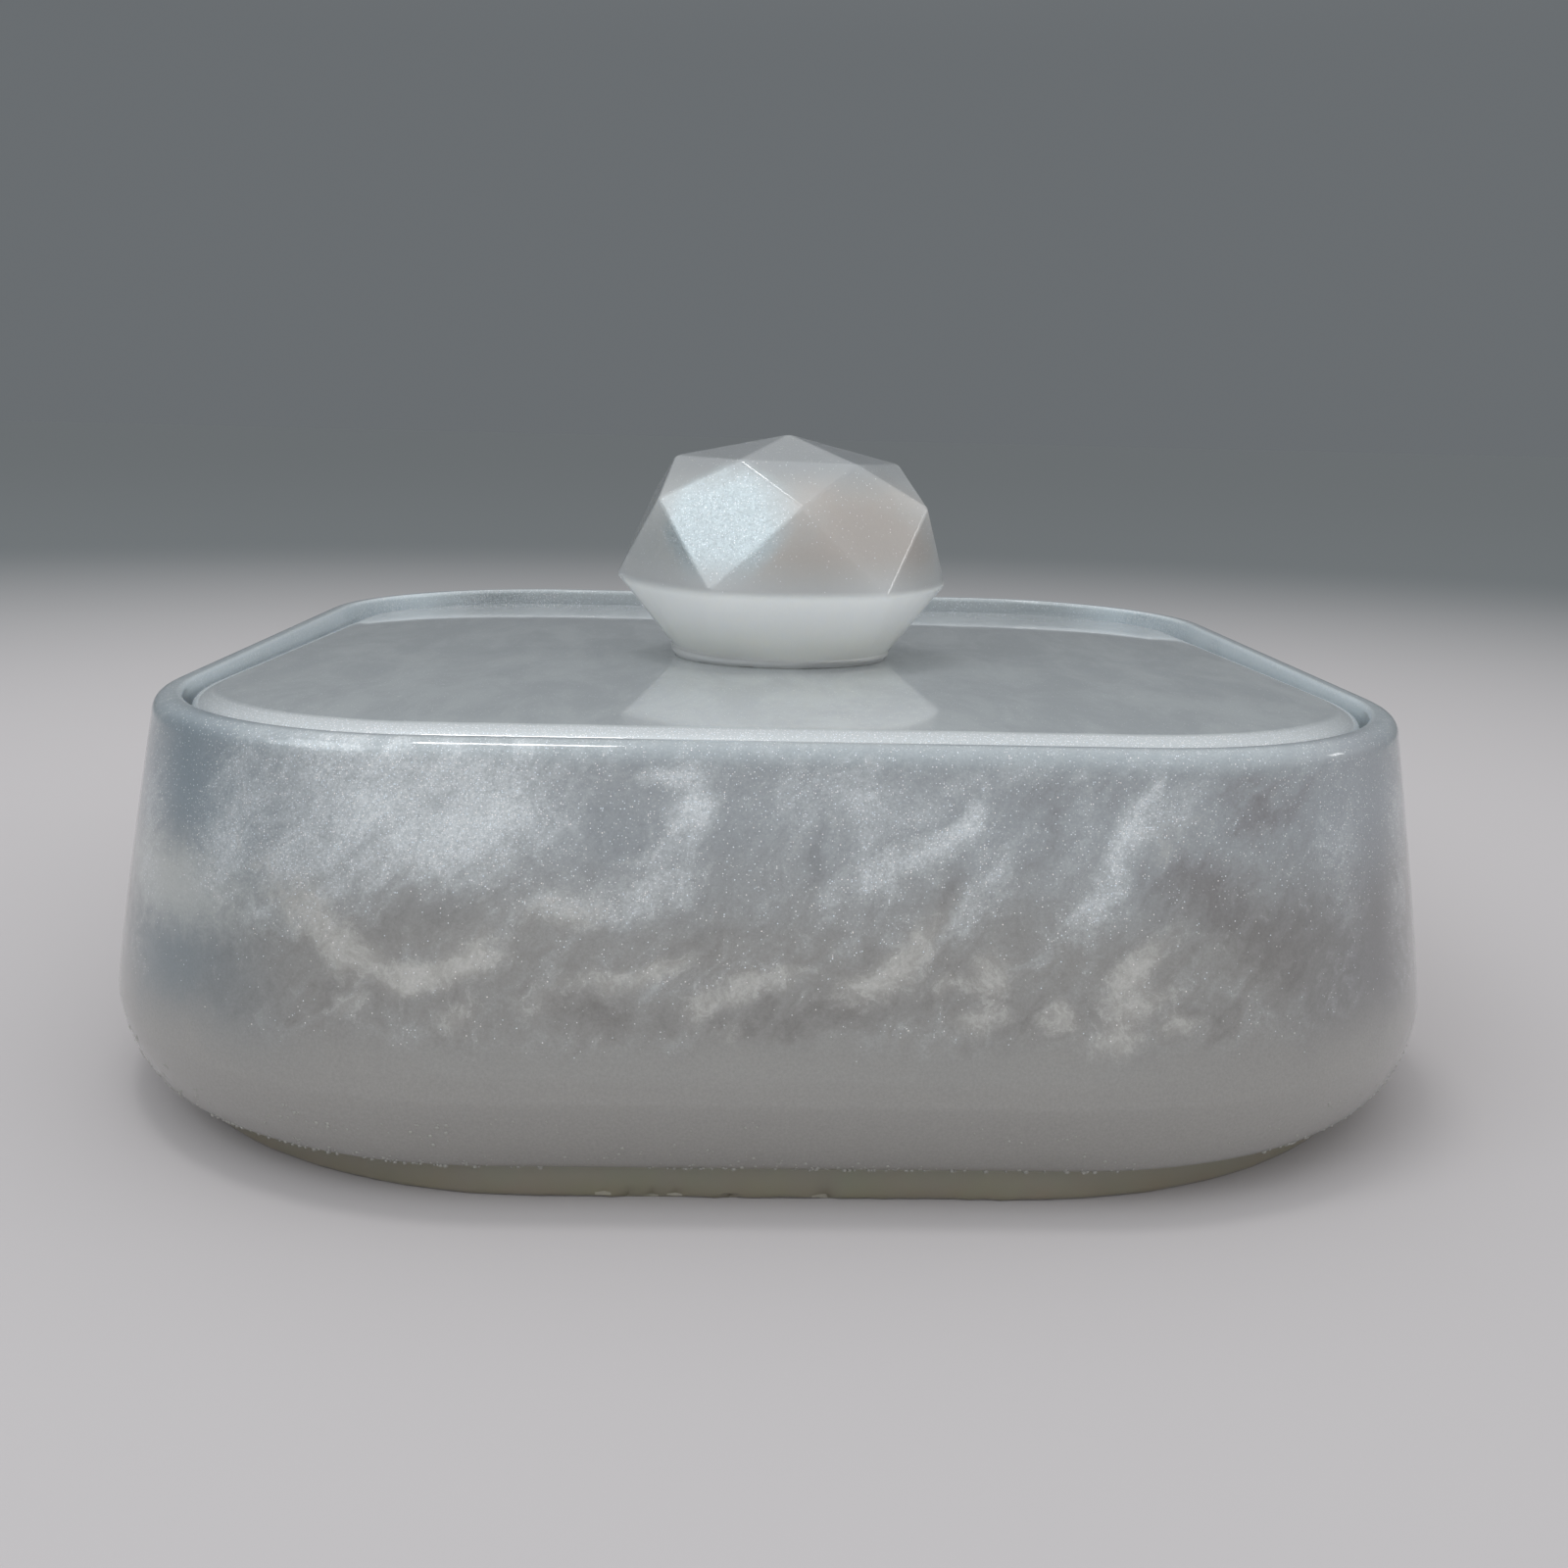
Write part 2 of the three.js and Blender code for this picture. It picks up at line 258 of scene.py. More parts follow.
WARM = [
    (-35.4, 23.0, 3.6, 1.5, -42, 0.7), (-32.4, 20.8, 2.8, 1.6, -32, 0.85), (-30.6, 18.4, 1.8, 1.4, 0, 1.05),
    (-27.4, 17.2, 1.9, 1.1, 10, 1.1), (-24.2, 17.9, 2.4, 1.0, 10, 1.1), (-21.2, 18.8, 1.8, 1.3, 20, 0.9),
    (-31, 15.4, 1.0, 0.9, 0, 0.75), (-23, 15.2, 2.0, 1.0, 20, 0.75), (-16, 22.2, 2.8, 1.3, 22, 0.9),
    (-12, 18, 3.8, 0.9, 14, 0.8), (-8.4, 18.8, 1.6, 0.8, 20, 0.7), (-17, 15.6, 1.6, 1.0, 0, 0.5),
    (-2, 17.2, 3.4, 1.0, 18, 1.1), (-6, 15.4, 1.4, 0.9, 40, 0.6), (-3.2, 13, 1.3, 1.1, 60, 0.6),
    (5.4, 17.6, 1.8, 1.4, 40, 0.9), (8, 18.8, 2.0, 1.6, 60, 0.7), (9.4, 20.6, 3.4, 1.2, 48, 0.6),
    (11.5, 17.6, 1.4, 0.8, 20, 0.7), (14.8, 18.2, 1.9, 1.2, 50, 1.0), (14, 15.3, 2.2, 0.8, 10, 1.0),
    (19.2, 14.8, 1.3, 1.1, 60, 1.1), (22.6, 13, 2.8, 0.9, 16, 0.85), (23.6, 14.8, 1.8, 1.1, 30, 0.8),
    (24.4, 18.4, 2.4, 1.3, 50, 0.9), (25.8, 16.6, 2.4, 1.2, 20, 0.8), (27.8, 14.4, 1.2, 0.9, 0, 0.9),
    (26, 20.4, 2.6, 1.0, 40, 0.7), (-47, 20.8, 4.2, 1.6, 36, 0.5), (45.5, 22, 3, 3.4, 0, 0.35),
    (27.5, 27.6, 2.6, 1.2, 14, 0.4),
]
SHADE = [
    (-41, 15.5, 7.5, 4.2, 0, 0.45), (-12, 28.6, 4.2, 2.1, 45, 0.2), (29.5, 24.4, 5.5, 2.4, -10, 1.1),
    (35, 29, 4.4, 3.5, 0, 0.9), (36, 20.6, 5.4, 5.4, 0, 0.9), (-25, 21.4, 5, 1.6, 8, 0.35),
    (-6, 21, 4, 2.6, 30, 0.4), (2.4, 15, 8.5, 2.1, 8, 0.6), (2.2, 25.6, 0.7, 2.2, 0, 0.6),
    (11.6, 24.0, 3.2, 0.9, 60, 0.7), (17.8, 27.8, 5, 2.1, 66, 0.5), (-12, 15.4, 8, 1.8, 4, 0.6),
    (30.5, 15.2, 4, 2.4, 0, 0.4), (12, 18, 3, 2, 40, 0.25),
]


def swirls(tree, spot, strokes, reach):
    """The summed strength of soft strokes at a spot on the wall. Each fades out at reach times its size. Strokes
    of about the same tilt and slimness share one turned and squeezed view of the wall, in which they are round."""
    total, views = 0.0, {}
    for along, height, length, width, tilt, strength in strokes:
        tilt, slim = 15 * round(tilt / 15), 2 ** (round(2 * math.log2(length / width)) / 2)
        if (tilt, slim) not in views:
            views[tilt, slim] = add(tree, "Mapping", {
                "Vector": spot, "Rotation": (0, -math.radians(tilt), 0), "Scale": (slim, 1, 1)},
                vector_type="TEXTURE")
        middle = Matrix.Rotation(math.radians(tilt), 3, "Y") @ Vector((along, 0, height))
        far = add(tree, "VectorMath", {
            0: views[tilt, slim].outputs[0], 1: (middle.x / slim * MM, 0, middle.z * MM)}, operation="DISTANCE")
        soft = add(tree, "MapRange", {
            "Value": far.outputs["Value"], "From Min": reach * math.sqrt(length * width / slim) * MM, "From Max": 0.0,
            "To Min": 0.0, "To Max": strength}, interpolation_type="SMOOTHSTEP")
        total = add(tree, "Math", {0: soft.outputs[0], 1: total}, operation="ADD").outputs[0]
    return total


def layer(tree, base, layers):
    """Lays colours over each other, each by its share."""
    for share, colour in layers:
        colour = paint(colour) if isinstance(colour, str) else colour
        base = paint(base) if isinstance(base, str) else base
        base = add(tree, "Mix", {0: share, 6: base, 7: colour}, data_type="RGBA").outputs[2]
    return base


def glitter(tree, place, base, amount):
    """Flecks over a colour: a random few of the cells of a fine pattern, each with one bright fleck, some
    faint and some full. The real flakes are about 0.05 mm across, and are drawn twice as large so that they
    show. Gives the colour, and where the flecks are."""
    spacing, size = 0.14, 0.06
    cells = add(tree, "TexVoronoi", {"Vector": place, "Scale": 1 / (spacing * MM)}, feature="F1")
    dot = add(tree, "MapRange", {
        "Value": cells.outputs["Distance"], "From Min": size / spacing, "From Max": 0.5 * size / spacing})
    dice = add(tree, "SeparateColor", {0: cells.outputs["Color"]})
    chosen = add(tree, "Math", {0: dice.outputs[0], 1: amount}, operation="LESS_THAN")
    share = add(tree, "Math", {0: dot.outputs[0], 1: chosen.outputs[0]}, operation="MULTIPLY").outputs[0]
    share = add(tree, "Math", {0: share, 1: dice.outputs[2]}, operation="MULTIPLY").outputs[0]
    return layer(tree, base, [(share, layer(tree, "#fff8f4", [(dice.outputs[1], "#e6f2ff")]))]), share


def beneath(tree, weight, flecks):
    """The share of the light that goes into the resin: none does where a flake lies in its way."""
    return add(tree, "Math", {0: flecks, 1: -weight, 2: weight}, operation="MULTIPLY_ADD").outputs[0]


def gloss_coat(tree, base, **inputs):
    """The shader that all the resin shares: a clear gloss skin over a satin body that lets a little light in."""
    waves = add(tree, "TexNoise", {
        "Vector": add(tree, "TexCoord").outputs["Object"], "Scale": 1 / (6 * MM), "Detail": 1.0})
    skin = add(tree, "Bump", {"Height": waves.outputs[0], "Strength": 0.12, "Distance": 0.05 * MM})
    shader = add(tree, "BsdfPrincipled", {
        "Base Color": base, "IOR": 1.5, "Coat Weight": 1.0, "Coat Roughness": 0.04, "Coat IOR": 1.5,
        "Coat Normal": skin.outputs[0], "Subsurface Weight": 0.2, "Subsurface Radius": (1.0, 0.95, 0.85),
        "Subsurface Scale": 3 * MM, **inputs})
    add(tree, "OutputMaterial", {0: shader.outputs[0]})


def open_side(tree, direction):
    """How open the studio is in a direction: the front and the right are pale, the back and the left are a grey
    backdrop."""
    side, back, _ = add(tree, "SeparateXYZ", {0: direction}).outputs
    near = add(tree, "Math", {0: side, 1: -0.65, 2: back}, operation="MULTIPLY_ADD").outputs[0]
    return add(tree, "MapRange", {"Value": near, "From Min": 0.2, "From Max": -0.8},
               interpolation_type="SMOOTHSTEP").outputs[0]


def poured_pearl_bowl():
    """Cast epoxy with white and silver mica stirred in. The mica hangs in clouds in the wall, with warm
    feathered lower edges, and the last of the pour below them is even and milky."""
    material, t = blank("poured pearl epoxy, bowl")
    place = add(t, "TexCoord").outputs["Object"]
    x, y, z = add(t, "SeparateXYZ", {0: place}).outputs

    # The wall is read flat: the place along the nearest side, and the height.
    size_x = add(t, "Math", {0: x}, operation="ABSOLUTE").outputs[0]
    size_y = add(t, "Math", {0: y}, operation="ABSOLUTE").outputs[0]
    on_side = add(t, "Math", {0: size_x, 1: size_y}, operation="GREATER_THAN").outputs[0]
    sign_y = add(t, "Math", {0: y}, operation="SIGN").outputs[0]
    front_back = add(t, "Math", {0: x, 1: sign_y}, operation="MULTIPLY").outputs[0]
    front_back = add(t, "Math", {0: front_back, 1: -1.0}, operation="MULTIPLY").outputs[0]
    along = add(t, "Mix", {0: on_side, 2: front_back, 3: y}, data_type="FLOAT").outputs[0]
    # The other three sides have the front's swirls mirrored and stretched.
    behind = add(t, "Math", {0: y, 1: 0.0}, operation="GREATER_THAN").outputs[0]
    other = add(t, "Math", {0: behind, 1: on_side}, operation="MAXIMUM").outputs[0]
    mirrored = add(t, "Math", {0: along, 1: -0.9, 2: 5 * MM}, operation="MULTIPLY_ADD").outputs[0]
    along = add(t, "Mix", {0: other, 2: along, 3: mirrored}, data_type="FLOAT").outputs[0]
    spot = add(t, "CombineXYZ", {0: along, 1: 0.0, 2: z}).outputs[0]

    # Eddies push the swirls about, coarse ones of 9 mm and fine ones of 1.5 mm.
    for eddy, reach, detail in ((9, 5, 2.0), (1.5, 1.5, 5.0)):
        noise = add(t, "TexNoise", {"Vector": place, "Scale": 1 / (eddy * MM), "Detail": detail, "Roughness": 0.65})
        push = add(t, "VectorMath", {0: noise.outputs["Color"], 1: (0.5, 0.5, 0.5)}, operation="SUBTRACT")
        push = add(t, "VectorMath", {0: push.outputs[0], "Scale": reach * MM}, operation="SCALE")
        spot = add(t, "VectorMath", {0: spot, 1: push.outputs[0]}, operation="ADD").outputs[0]
    flat = add(t, "VectorMath", {0: spot, 1: (1, 0, 1)}, operation="MULTIPLY").outputs[0]
    height = add(t, "SeparateXYZ", {0: flat}).outputs[2]

    silver, warm, shade = (swirls(t, flat, *strokes) for strokes in ((SILVER, 1.35), (WARM, 1.9), (SHADE, 1.3)))
    # Feathers break up the swirls: drawn out and leaning in the silver, curled in the warm edges.
    drawn = add(t, "Mapping", {"Vector": flat, "Rotation": (0, -math.radians(50), 0),
                               "Scale": (5 * MM, 1, 1.4 * MM)}, vector_type="TEXTURE")
    long_feather = add(t, "TexNoise", {"Vector": drawn.outputs[0], "Scale": 1.0, "Detail": 6.0, "Roughness": 0.66})
    curl = add(t, "TexNoise", {"Vector": flat, "Scale": 1 / (1.3 * MM), "Detail": 6.0, "Roughness": 0.68})
    cloud = add(t, "TexNoise", {"Vector": flat, "Scale": 1 / (10 * MM), "Detail": 5.0, "Roughness": 0.6})
    grain = add(t, "TexNoise", {"Vector": place, "Scale": 1 / (0.22 * MM), "Detail": 2.0, "Roughness": 0.8})
    # Heights between which each part of the pour comes in: the wall above the last, even part, the swirls, and the
    # paler upper wall.
    milky, pearly, upper = (
        add(t, "MapRange", {"Value": height, "From Min": start * MM, "From Max": full * MM},
            interpolation_type="SMOOTHSTEP").outputs[0] for start, full in ((8.5, 16), (11.6, 14.2), (19, 29)))

    # Each side's swirls die away towards the corners, so that they don't break off there.
    past_corner = add(t, "Math", {0: size_x, 1: size_y}, operation="SUBTRACT").outputs[0]
    from_corner = add(t, "Math", {0: past_corner}, operation="ABSOLUTE").outputs[0]
    own_side = add(t, "MapRange", {"Value": from_corner, "From Min": 0.0, "From Max": 10 * MM},
                   interpolation_type="SMOOTHSTEP").outputs[0]
    stirred = add(t, "Math", {0: pearly, 1: own_side}, operation="MULTIPLY").outputs[0]

    # One tone runs from shade to silver, so that the swirls melt into each other.
    tone = add(t, "Math", {0: shade, 1: -0.85, 2: silver}, operation="MULTIPLY_ADD").outputs[0]
    for feather, gain in ((cloud, 1.3), (long_feather, 1.7), (curl, 1.4)):
        loose = add(t, "Math", {0: feather.outputs[0], 1: 0.5}, operation="SUBTRACT").outputs[0]
        tone = add(t, "Math", {0: loose, 1: gain, 2: tone}, operation="MULTIPLY_ADD").outputs[0]
    frayed = add(t, "Math", {0: curl.outputs[0], 1: 0.5}, operation="SUBTRACT").outputs[0]
    frayed = add(t, "Math", {0: frayed, 1: 3.2, 2: warm}, operation="MULTIPLY_ADD").outputs[0]
    # The warm edges are curly threads, as on a heaped cloud: the places where a noise passes its middle value.
    heap = add(t, "TexNoise", {"Vector": flat, "Scale": 1 / (1.4 * MM), "Detail": 5.0, "Roughness": 0.65})
    heap = add(t, "Math", {0: heap.outputs[0], 1: 0.5}, operation="SUBTRACT").outputs[0]
    heap = add(t, "Math", {0: heap}, operation="ABSOLUTE").outputs[0]
    thread = add(t, "MapRange", {"Value": heap, "From Min": 0.075, "From Max": 0.0},
                 interpolation_type="SMOOTHSTEP").outputs[0]
    frayed = add(t, "Math", {0: thread, 1: 0.65, 2: frayed}, operation="MULTIPLY_ADD").outputs[0]
    masks = []
    for field, low, high in ((tone, -0.2, 1.75), (frayed, 0.65, 2.3), (tone, 0.05, -1.0), (warm, 0.0, 1.6)):
        mask = add(t, "MapRange", {"Value": field, "From Min": low, "From Max": high},
                   interpolation_type="SMOOTHSTEP").outputs[0]
        masks.append(add(t, "Math", {0: mask, 1: stirred}, operation="MULTIPLY").outputs[0])
    silver, warm, shade, glow = masks

    # The corners and the rim are thin and even. Their bluish tone is partly the clearer resin and partly painted
    # light, for the light that comes through them.
    corner = add(t, "Math", {0: size_x, 1: size_y}, operation="MINIMUM").outputs[0]
    corner = add(t, "MapRange", {"Value": corner, "From Min": 33 * MM, "From Max": 47 * MM},
                 interpolation_type="SMOOTHSTEP").outputs[0]
    corner = add(t, "Math", {0: corner, 1: milky}, operation="MULTIPLY").outputs[0]
    rim, low = (
        add(t, "MapRange", {"Value": z, "From Min": start * MM, "From Max": full * MM},
            interpolation_type="SMOOTHSTEP").outputs[0] for start, full in ((31.6, 33.4), (9.5, 3.2)))
    right = add(t, "MapRange", {"Value": x, "From Min": -30 * MM, "From Max": 30 * MM}).outputs[0]
    thin_top = layer(t, "#7a868e", [(right, "#8a8f95")])
    thin_skin = layer(t, "#747d82", [(right, "#747374"), (upper, thin_top)])
    dull_top = layer(t, "#768087", [(right, "#7b7a7d")])
    dull = layer(t, "#777472", [(upper, dull_top)])
    # Painted light: the wall beside the lid is painted lighter, for the light that it gets through the thin rim.
    core = (HALF_REBATE - REBATE_RADIUS) * MM
    inside = add(t, "VectorMath", {0: place}, operation="ABSOLUTE")
    inside = add(t, "VectorMath", {0: inside.outputs[0], 1: (core, core, 0)}, operation="SUBTRACT")
    inside = add(t, "VectorMath", {0: inside.outputs[0], 1: (0, 0, 0)}, operation="MAXIMUM")
    inside = add(t, "VectorMath", {0: inside.outputs[0], 1: (1, 1, 0)}, operation="MULTIPLY")
    inside = add(t, "VectorMath", {0: inside.outputs[0]}, operation="LENGTH").outputs["Value"]
    inside = add(t, "MapRange", {"Value": inside, "From Min": (REBATE_RADIUS + 0.5) * MM,
                                 "From Max": (REBATE_RADIUS + 0.1) * MM}).outputs[0]
    above = add(t, "Math", {0: z, 1: (LEDGE_Z + 0.1) * MM}, operation="GREATER_THAN").outputs[0]
    beside_lid = add(t, "Math", {0: inside, 1: above}, operation="MULTIPLY").outputs[0]
    # The hollow is finished by the mould like the lid, with drifts of mica on its floor.
    drift = add(t, "TexNoise", {"Vector": place, "Scale": 1 / (11 * MM), "Detail": 6.0, "Roughness": 0.62,
                                "Distortion": 0.4})
    drift = add(t, "MapRange", {"Value": drift.outputs[0], "From Min": 0.35, "From Max": 0.68},
                interpolation_type="SMOOTHSTEP").outputs[0]
    lining = layer(t, "#9da2a5", [(drift, "#b0b7ba")])
    # The side walls are painted with more of that light than the back one.
    to_side = add(t, "MapRange", {"Value": past_corner, "From Min": -12 * MM, "From Max": 6 * MM},
                  interpolation_type="SMOOTHSTEP").outputs[0]
    painted_light_through = layer(t, "#9ba2a6", [(to_side, "#bcc6cc")])
    # A painted highlight crosses the front left corner: a wisp of lighter silver.
    corner_glint = add(t, "Mapping", {"Vector": place, "Location": (-47 * MM, -44 * MM, 21.5 * MM),
                              "Rotation": (0, 0, -math.radians(44)), "Scale": (16 * MM, 10 * MM, 4.5 * MM)},
               vector_type="TEXTURE")
    corner_glint = add(t, "VectorMath", {0: corner_glint.outputs[0]}, operation="LENGTH").outputs["Value"]
    corner_glint = add(t, "Math", {0: curl.outputs[0], 1: -0.9, 2: corner_glint}, operation="MULTIPLY_ADD").outputs[0]
    corner_glint = add(t, "MapRange", {"Value": corner_glint, "From Min": 0.7, "From Max": -0.3},
               interpolation_type="SMOOTHSTEP").outputs[0]
    base = layer(t, "#94928f", [
        (low, "#93918d"), (milky, "#8c8b89"), (upper, "#94999d"), (shade, dull), (glow, "#a9a7a3"),
        (rim, "#9ba3a8"), (corner, thin_skin), (corner_glint, "#a8abaa"), (silver, "#ced3d6"), (warm, "#b8b7b4"),
        (inside, lining), (beside_lid, painted_light_through)])
    flaky = add(t, "Math", {0: silver, 1: 0.6, 2: 0.2}, operation="MULTIPLY_ADD").outputs[0]
    base = add(t, "Mix", {0: flaky, 6: base, 7: grain.outputs[0]}, data_type="RGBA", blend_type="OVERLAY").outputs[2]

    # Glitter is thick in the silver and near the rim, and thin in the even band.
    amount = add(t, "Math", {0: silver, 1: 0.9, 2: 0.02}, operation="MULTIPLY_ADD").outputs[0]
    amount = add(t, "Math", {0: upper, 1: 0.15, 2: amount}, operation="MULTIPLY_ADD").outputs[0]
    pearled = add(t, "Math", {0: pearly, 1: inside}, operation="MAXIMUM").outputs[0]
    amount = add(t, "Math", {0: pearled, 1: amount}, operation="MULTIPLY").outputs[0]
    base, flecks = glitter(t, place, base, amount)

    metal = add(t, "Math", {0: silver, 1: 0.4}, operation="MULTIPLY").outputs[0]
    metal = add(t, "Math", {0: warm, 1: 0.15, 2: metal}, operation="MULTIPLY_ADD", use_clamp=True).outputs[0]
    satin = add(t, "Math", {0: silver, 1: -0.12, 2: 0.5}, operation="MULTIPLY_ADD").outputs[0]
    lift = add(t, "Math", {0: stirred, 1: curl.outputs[0]}, operation="MULTIPLY").outputs[0]
    mica = add(t, "Bump", {"Height": lift, "Strength": 0.2, "Distance": 0.2 * MM})
    gloss_coat(t, base, Metallic=metal, Roughness=satin, Normal=mica.outputs[0],
               **{"Subsurface Weight": beneath(t, 0.45, flecks), "Subsurface Scale": 4 * MM})
    return material


def poured_pearl_lid():
    """The same epoxy with less mica, poured in one go: faint patches and scattered glitter, and a lighter,
    more silver rounded border: partly flakes that lie against the mould, partly a painted highlight of the front
    light."""
    material, t = blank("poured pearl epoxy, lid")
    place = add(t, "TexCoord").outputs["Object"]
    _, y, z = add(t, "SeparateXYZ", {0: place}).outputs
    drawn = add(t, "Mapping", {"Vector": place, "Scale": (6 * MM, 17 * MM, 5 * MM)}, vector_type="TEXTURE")
    streak = add(t, "TexNoise", {"Vector": drawn.outputs[0], "Scale": 1.0, "Detail": 6.0, "Roughness": 0.68,
                                 "Distortion": 0.4})
    streak = add(t, "MapRange", {"Value": streak.outputs[0], "From Min": 0.36, "From Max": 0.66},
                 interpolation_type="SMOOTHSTEP").outputs[0]
    level = add(t, "Math", {0: y, 1: -LID_SLOPE, 2: z}, operation="MULTIPLY_ADD").outputs[0]
    border = add(t, "MapRange", {"Value": level, "From Min": (LID_TOP_Z - 0.03) * MM,
                                 "From Max": (LID_TOP_Z - 0.12) * MM}).outputs[0]
    # The border is painted lighter: partly its own silver flakes, partly a painted highlight of the front light.
    base = layer(t, "#a5aaad", [(streak, "#b4b9bb"), (border, "#bdc2c5")])
    amount = add(t, "Math", {0: border, 1: 0.85, 2: 0.08}, operation="MULTIPLY_ADD").outputs[0]
    base, flecks = glitter(t, place, base, amount)
    metal = add(t, "Math", {0: border, 1: 0.3, 2: 0.08}, operation="MULTIPLY_ADD").outputs[0]
    gloss_coat(t, base, Metallic=metal, Roughness=0.45,
               **{"Subsurface Weight": beneath(t, 0.2, flecks), "Specular IOR Level": 0.2})
    return material


def poured_pearl_knob():
    """The knob was cast point down, so its mica settled against the crown's facets, which flash silver, and
    left the round cone milky."""
    material, t = blank("poured pearl epoxy, knob")
    place = add(t, "TexCoord").outputs["Object"]
    z = add(t, "SeparateXYZ", {0: place}).outputs[2]
    # Heights over the knob's seat between which each part comes in: the crown, its lower edge, the darker cap and
    # the milky root of the cone.
    crown, edge, cap, root = (
        add(t, "MapRange", {"Value": z, "From Min": (KNOB_SEAT + start) * MM, "From Max": (KNOB_SEAT + full) * MM},
            interpolation_type="SMOOTHSTEP").outputs[0] for start, full in (
                (GIRDLE_Z - 0.6, GIRDLE_Z + 4), (GIRDLE_Z - 0.6, GIRDLE_Z + 0.4), (TABLE_Z - 3.6, TABLE_Z + 0.5),
                (5, 0)))
    # A veil of another pour, a little warmer, lies on one side of the crown.
    veil = add(t, "VectorMath", {0: place, 1: ((KNOB_X + 8) * MM, (KNOB_Y - 13) * MM, (KNOB_SEAT + 9) * MM)},
               operation="DISTANCE").outputs["Value"]
    waves = add(t, "TexNoise", {"Vector": place, "Scale": 1 / (5 * MM), "Detail": 4.0, "Roughness": 0.6})
    veil = add(t, "Math", {0: waves.outputs[0], 1: -9 * MM, 2: veil}, operation="MULTIPLY_ADD").outputs[0]
    warm = add(t, "MapRange", {"Value": veil, "From Min": 9 * MM, "From Max": 1 * MM},
               interpolation_type="SMOOTHSTEP").outputs[0]
    warm = add(t, "Math", {0: warm, 1: crown}, operation="MULTIPLY").outputs[0]
    # The flakes lie thickest against the kite that faces the front, and thin out towards its tips. Its lighter,
    # bluish colour is partly a painted highlight of the key light.
    out = Vector((math.cos(KNOB_HEADING), math.sin(KNOB_HEADING), 0))
    kite = Vector((KNOB_X, KNOB_Y, KNOB_SEAT + (TABLE_Z + GIRDLE_Z) / 2))
    kite += out * (TABLE_RADIUS + GIRDLE_RADIUS) / 2
    facing = (out * (TABLE_Z - GIRDLE_Z) + Vector((0, 0, GIRDLE_RADIUS - TABLE_RADIUS))).normalized()
    from_kite = add(t, "VectorMath", {0: place, 1: kite * MM}, operation="SUBTRACT").outputs[0]
    flash = add(t, "VectorMath", {0: from_kite}, operation="LENGTH").outputs["Value"]
    flash = add(t, "Math", {0: waves.outputs[0], 1: -5 * MM, 2: flash}, operation="MULTIPLY_ADD").outputs[0]
    flash = add(t, "MapRange", {"Value": flash, "From Min": 5.2 * MM, "From Max": 1.3 * MM},
                interpolation_type="SMOOTHSTEP").outputs[0]
    depth = add(t, "VectorMath", {0: from_kite, 1: facing}, operation="DOT_PRODUCT").outputs["Value"]
    depth = add(t, "MapRange", {"Value": depth, "From Min": -0.9 * MM, "From Max": -0.2 * MM},
                interpolation_type="SMOOTHSTEP").outputs[0]
    flash = add(t, "Math", {0: flash, 1: depth}, operation="MULTIPLY").outputs[0]
    flash = add(t, "Math", {0: flash, 1: crown}, operation="MULTIPLY").outputs[0]
    body = layer(t, "#a3a6a7", [(waves.outputs[0], "#b5b8b9")])
    # The front kite's flash colour is partly a painted highlight of the key light.
    base = layer(t, "#f4f6f4", [
        (edge, "#b3b4b5"), (crown, body), (warm, "#aaa4a0"), (cap, "#8c9093"), (flash, "#b2bcc0"), (root, "#f4f4ec")])
    amount = add(t, "Math", {0: crown, 1: 0.05, 2: 0.01}, operation="MULTIPLY_ADD").outputs[0]
    amount = add(t, "Math", {0: flash, 1: 0.35, 2: amount}, operation="MULTIPLY_ADD").outputs[0]
    base, flecks = glitter(t, place, base, amount)
    # The flakes lie at slightly different slants, which gives the flash its fine grain.
    grain = add(t, "TexNoise", {"Vector": place, "Scale": 1 / (0.3 * MM), "Detail": 4.0, "Roughness": 0.85})
    slant = add(t, "Bump", {"Height": grain.outputs[0], "Strength": 0.5, "Distance": 0.08 * MM})
    loose = add(t, "MapRange", {"Value": grain.outputs[0], "From Min": 0.36, "From Max": 0.62, "To Min": 0.2,
                                "To Max": 1.0}).outputs[0]
    speckled = add(t, "Math", {0: flash, 1: 0.3, 2: 0.1}, operation="MULTIPLY_ADD").outputs[0]
    speckled = add(t, "Math", {0: speckled, 1: crown}, operation="MULTIPLY").outputs[0]
    base = add(t, "Mix", {0: speckled, 6: base, 7: grain.outputs[0]}, data_type="RGBA",
               blend_type="OVERLAY").outputs[2]
    flat = add(t, "Math", {0: flash, 1: 0.55, 2: 0.3}, operation="MULTIPLY_ADD").outputs[0]
    flat = add(t, "Math", {0: flat, 1: crown}, operation="MULTIPLY").outputs[0]
    metal = add(t, "Math", {0: loose, 1: flat}, operation="MULTIPLY", use_clamp=True).outputs[0]
    # Light travels far in the clear crown and less far in the milky root.
    travel = add(t, "MapRange", {"Value": root, "To Min": 24 * MM, "To Max": 2 * MM}).outputs[0]
    gloss_coat(t, base, Metallic=metal, Roughness=0.38, Normal=slant.outputs[0],
               **{"Subsurface Weight": beneath(t, 0.95, flecks), "Subsurface Scale": travel})
    return material


def clear_resin_foot():
    """Unpigmented epoxy, a little yellow with age: light goes into it and comes back dull and greenish."""
    material, t = blank("clear epoxy, foot")
    place = add(t, "TexCoord").outputs["Object"]
    z = add(t, "SeparateXYZ", {0: place}).outputs[2]
    haze = add(t, "TexNoise", {"Vector": place, "Scale": 1 / (3 * MM), "Detail": 4.0})
    deep = add(t, "MapRange", {"Value": z, "From Min": FOOT_Z * MM, "From Max": 0.4 * MM}).outputs[0]
    base = layer(t, "#a5a493", [(deep, "#9b937f")])
    base = add(t, "Mix", {0: 0.12, 6: base, 7: haze.outputs["Color"]}, data_type="RGBA",
               blend_type="SOFT_LIGHT").outputs[2]
    gloss_coat(t, base, Roughness=0.3, **{"Transmission Weight": 0.35})
    return material


